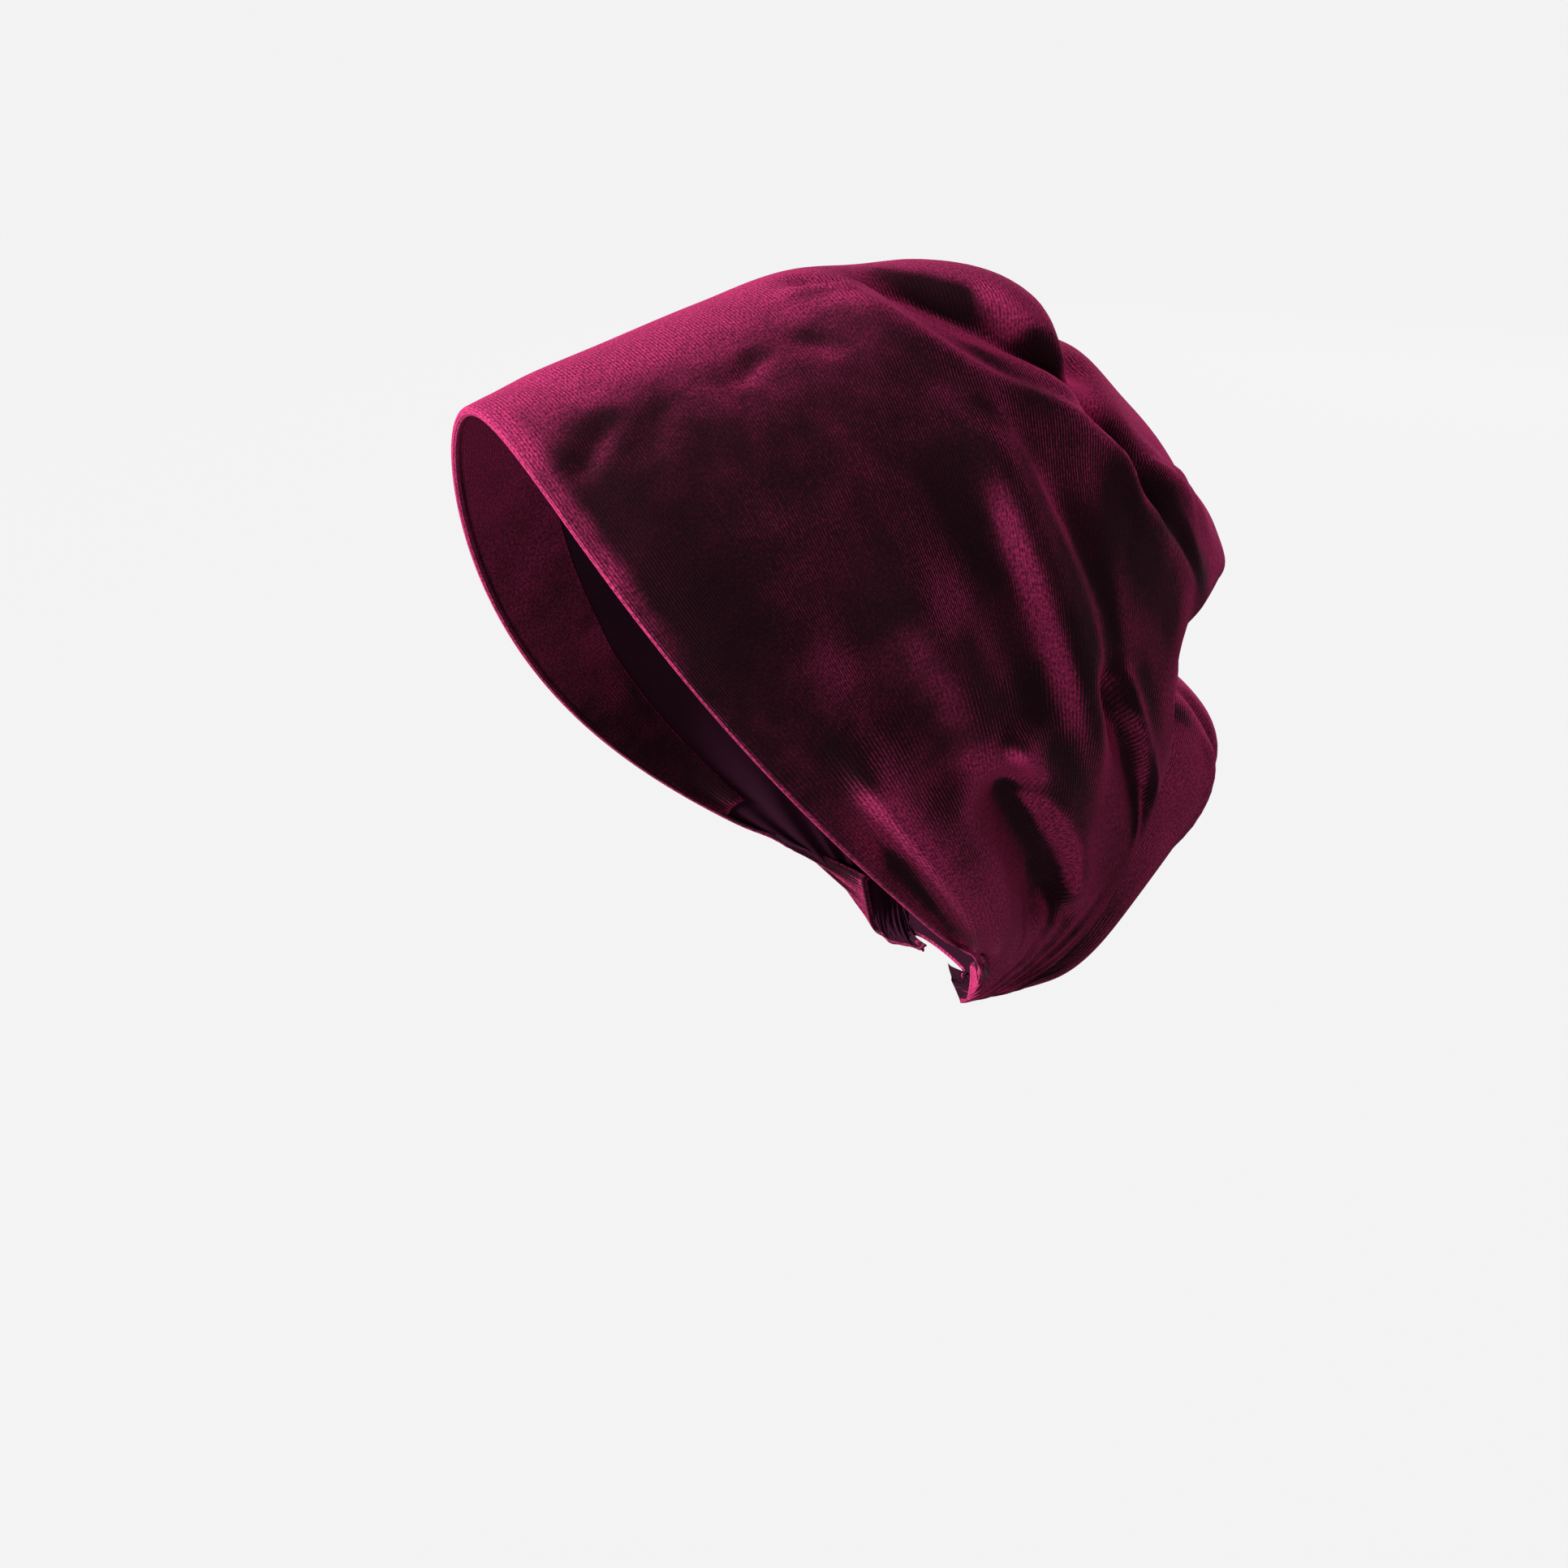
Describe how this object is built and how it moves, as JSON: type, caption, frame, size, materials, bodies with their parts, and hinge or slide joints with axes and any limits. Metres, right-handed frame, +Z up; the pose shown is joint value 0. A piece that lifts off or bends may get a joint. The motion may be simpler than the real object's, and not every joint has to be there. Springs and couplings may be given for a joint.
{
  "type": "slouch hat",
  "caption": "Soft pull-on slouch hat of ribbed velvet, open at the face, with a full back that falls in soft rolls and gathers at the nape.",
  "frame": {"origin": "the place inside the crown where the hat bears on the top of the head", "axes": "+Z up as worn, -Y towards the face, +X towards the wearer's left"},
  "size_m": [0.1998, 0.2937, 0.2738],
  "materials": {
    "velvet": "ribbed stretch velvet, wine red",
    "velvet_inside": "ribbed stretch velvet, turned in and in shade"
  },
  "bodies": {
    "root": {"crown": "velvet", "rim_facing": "velvet_inside"}
  },
  "joints": []
}
